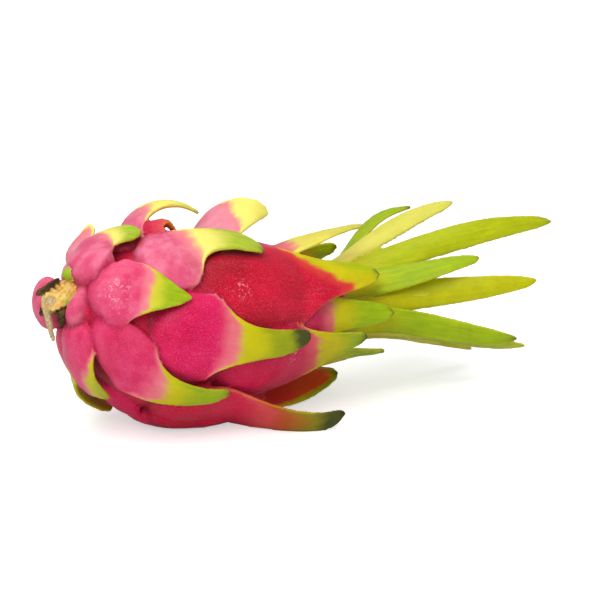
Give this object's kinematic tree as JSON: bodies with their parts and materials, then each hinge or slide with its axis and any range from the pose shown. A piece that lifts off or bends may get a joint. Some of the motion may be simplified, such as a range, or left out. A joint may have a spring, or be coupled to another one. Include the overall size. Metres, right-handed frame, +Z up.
{
  "type": "dragon fruit",
  "caption": "Whole dragon fruit lying on its side: plump peel with leafy green-tipped scales, a crown of bracts, a dry stem stub and a dried flower in the crown.",
  "frame": {"origin": "on the flat spot of the belly that the fruit lies on, under its widest section", "axes": "+X along the fruit from the stem end to the crown, +Z up, -Y towards the side seen in front"},
  "size_m": [0.253, 0.0944, 0.096],
  "materials": {
    "peel": "waxy satin, pink red with yellow-green scale tips",
    "dry_stem": "matte dry tan wood",
    "dry_flower": "matte dried brown"
  },
  "bodies": {
    "root": {"fruit": "peel", "stem_stub": "dry_stem", "dried_flower": "dry_flower"}
  },
  "joints": []
}
